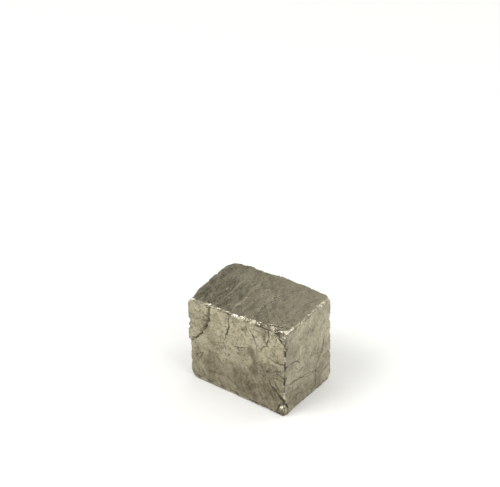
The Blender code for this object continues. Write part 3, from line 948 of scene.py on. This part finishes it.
def eased(tree, value, start, end):
    """A wire that goes from 0 to 1 as another goes from a start to an end."""
    return Wire.node(
        tree, "ShaderNodeMapRange", {"interpolation_type": "SMOOTHSTEP"},
        {"Value": value, "From Min": start, "From Max": end},
    )


# %% Mix the pyrite
pyrite = bpy.data.materials.new("pyrite")
pyrite.use_nodes = True
tree = pyrite.node_tree
shader = tree.nodes["Principled BSDF"]
here = Wire.node(tree, "ShaderNodeTexCoord", output=3)


def clouds(scale, detail=3.0, roughness=0.55, distortion=0.0):
    """Cloudy chance values about 0.5, so many clouds to the metre."""
    return Wire.node(tree, "ShaderNodeTexNoise", {}, {
        "Vector": here, "Scale": scale, "Detail": detail, "Roughness": roughness,
        "Distortion": distortion,
    })


def marked(name):
    """One of the skin's own marks."""
    return Wire.node(tree, "ShaderNodeAttribute", {"attribute_name": name}, output=2)


def hairlines(scale, width, bend):
    """A net of thin lines, 1 on a line and 0 between, bent by a cloud of its own."""
    bent = Wire.node(tree, "ShaderNodeVectorMath", {"operation": "MULTIPLY_ADD"}, {
        0: Wire.node(tree, "ShaderNodeTexNoise", {}, {"Vector": here, "Scale": 1.3 * scale}, output=1),
        1: (bend / scale,) * 3, 2: here,
    })
    gaps = Wire.node(
        tree, "ShaderNodeTexVoronoi", {"feature": "DISTANCE_TO_EDGE"}, {"Vector": bent, "Scale": scale}
    )
    return eased(tree, gaps, width, 0.0)


crack_and_shade, stain_and_shade, fresh_and_glint = marked("crack_and_shade"), marked("stain_and_shade"), marked("fresh_and_glint")
dull, crazed = marked("dull"), marked("crazed")
broad_clouds = clouds(150.0, 4.0, 0.6)
mottle = clouds(640.0, 5.0, 0.66, 0.4)
flecks = clouds(1900.0, 4.0, 0.66)
grain = clouds(5600.0, 2.0, 0.6)
tarnish = eased(tree, broad_clouds * 0.35 + mottle * 0.35 + flecks * 0.3, 0.42, 0.60)
net = hairlines(430.0, 0.045, 0.9) * eased(tree, mottle, 0.42, 0.56)
fine_net = hairlines(1250.0, 0.07, 0.8) * eased(tree, flecks, 0.42, 0.58)
hairline = crazed * (net + 0.7 * fine_net)
print("the pyrite's pattern has", len(tree.nodes), "nodes")

# %% Give the pyrite its colours
# The stain colour also paints shade towards the front face's base and on the layer's rim. The colour of
# broken chips is near white, a painted glint. The colour inside a crack is painted shade in the groove, and
# it also paints the dark edge lines.
CLEAN, TARNISHED = (0.505, 0.460, 0.330, 1.0), (0.285, 0.252, 0.166, 1.0)
SPOT, DARK_FLECK, BRIGHT_FLECK = (0.14, 0.115, 0.07, 1.0), (0.16, 0.135, 0.085, 1.0), (0.60, 0.55, 0.40, 1.0)
DARK_GRAIN, STAIN_AND_SHADE, BROKEN_AND_GLINT = (0.18, 0.155, 0.10, 1.0), (0.082, 0.064, 0.037, 1.0), (0.84, 0.79, 0.64, 1.0)
CRAZED, SHADE_IN_A_CRACK = (0.045, 0.036, 0.023, 1.0), (0.016, 0.013, 0.009, 1.0)
texture = 0.35 + 0.65 * dull
brass = blended(tree, texture * tarnish, CLEAN, TARNISHED)
brass = blended(tree, 0.5 * texture * eased(tree, mottle, 0.56, 0.70), brass, SPOT)
brass = blended(tree, 0.4 * texture * eased(tree, flecks, 0.58, 0.70), brass, DARK_FLECK)
brass = blended(tree, 0.4 * eased(tree, flecks, 0.42, 0.30), brass, BRIGHT_FLECK)
brass = blended(tree, 0.3 * eased(tree, grain, 0.56, 0.74), brass, DARK_GRAIN)
brass = blended(tree, 0.85 * stain_and_shade, brass, STAIN_AND_SHADE)
brass = blended(tree, 0.9 * fresh_and_glint, brass, BROKEN_AND_GLINT)
brass = blended(tree, 0.8 * hairline, brass, CRAZED)
colour = blended(tree, crack_and_shade, brass, SHADE_IN_A_CRACK)
dullness = (
    0.15 + 0.07 * dull + 0.08 * tarnish + 0.30 * (flecks - 0.5) + 0.22 * stain_and_shade - 0.03 * fresh_and_glint
    + 0.3 * crack_and_shade
)
swells = clouds(270.0, 2.0)
relief = 6.0 * (swells - 0.5) + 2.2 * (mottle - 0.5) + 0.8 * (flecks - 0.5) + 0.2 * (grain - 0.5)
height = (0.12 + 0.88 * dull) * relief - 0.9 * hairline
BUMP_HEIGHT = 0.12 * MM
bumps = Wire.node(tree, "ShaderNodeBump", {}, {
    "Strength": 0.8, "Distance": BUMP_HEIGHT, "Height": height,
})
for name, wire in (("Base Color", colour), ("Roughness", dullness), ("Normal", bumps)):
    tree.links.new(wire.socket, shader.inputs[name])
tree.links.new((1 - 0.85 * crack_and_shade).socket, shader.inputs["Metallic"])
mesh.materials.append(pyrite)
print("the pyrite has", len(tree.nodes), "nodes")

# %% [markdown]
# ## The table and the light
#
# The crystal stands on a plain white table under soft studio light. A metal shows what is around it, so
# the light decides the face tones: the front face mirrors the bright table, and the top mirrors the
# dimmer room behind. The room is brightest overhead.

# %% Lay the table
TABLE = 6.0
sheet = bmesh.new()
bmesh.ops.create_grid(sheet, x_segments=1, y_segments=1, size=TABLE / 2)
table_mesh = bpy.data.meshes.new("table")
sheet.to_mesh(table_mesh)
sheet.free()
table = bpy.data.objects.new("table", table_mesh)
bpy.context.scene.collection.objects.link(table)
white = bpy.data.materials.new("white_table")
white.use_nodes = True
paint = white.node_tree.nodes["Principled BSDF"].inputs
paint["Base Color"].default_value = (0.9, 0.9, 0.885, 1.0)
paint["Roughness"].default_value = 0.75
paint["Specular IOR Level"].default_value = 0.1
table_mesh.materials.append(white)
print("the table is", TABLE, "m wide")

# %% Hang the lights
def softbox(name, place, target, size, power):
    """Hangs a square area light at a place, turned towards a target."""
    light = bpy.data.lights.new(name, "AREA")
    light.size = size
    light.energy = power
    lamp = bpy.data.objects.new(name, light)
    lamp.location = place
    lamp.rotation_euler = (Vector(target) - Vector(place)).to_track_quat("-Z", "Y").to_euler()
    bpy.context.scene.collection.objects.link(lamp)


softbox("key_light", (-0.35, -0.55, 0.75), (0, 0, 0), 0.5, 4.8)
softbox("fill_light", (0.8, -0.1, 0.6), (0, 0, 0), 0.5, 1.6)
softbox("rim_light", (0.52, 0.70, 0.49), (0, 0, 0), 0.3, 0.9)
# The room's left back corner is darker. This points to the left across the line that the top mirrors.
DARK_CORNER = (-math.cos(AZIMUTH), -math.sin(AZIMUTH), 0.0)
room = bpy.data.worlds.new("room")
room.use_nodes = True
air = room.node_tree
direction = Wire.node(air, "ShaderNodeTexCoord")
upwards = Wire.node(air, "ShaderNodeSeparateXYZ", {}, {"Vector": direction}, output=2)
leftwards = Wire.node(
    air, "ShaderNodeVectorMath", {"operation": "DOT_PRODUCT"}, {0: direction, 1: DARK_CORNER}, output=1
)
above_horizon = eased(air, upwards, 0.15, 0.30)
overhead = eased(air, upwards, 0.55, 0.95)
dark_corner = above_horizon * eased(air, upwards, 0.80, 0.65) * eased(air, leftwards, -0.05, 0.09)
brightness = 1.0 - 0.40 * above_horizon + 0.65 * overhead - 0.5 * dark_corner
air.nodes["Background"].inputs["Color"].default_value = (1.0, 1.0, 0.985, 1.0)
air.links.new(brightness.socket, air.nodes["Background"].inputs["Strength"])
bpy.context.scene.world = room
bpy.context.scene.view_settings.view_transform = "Standard"
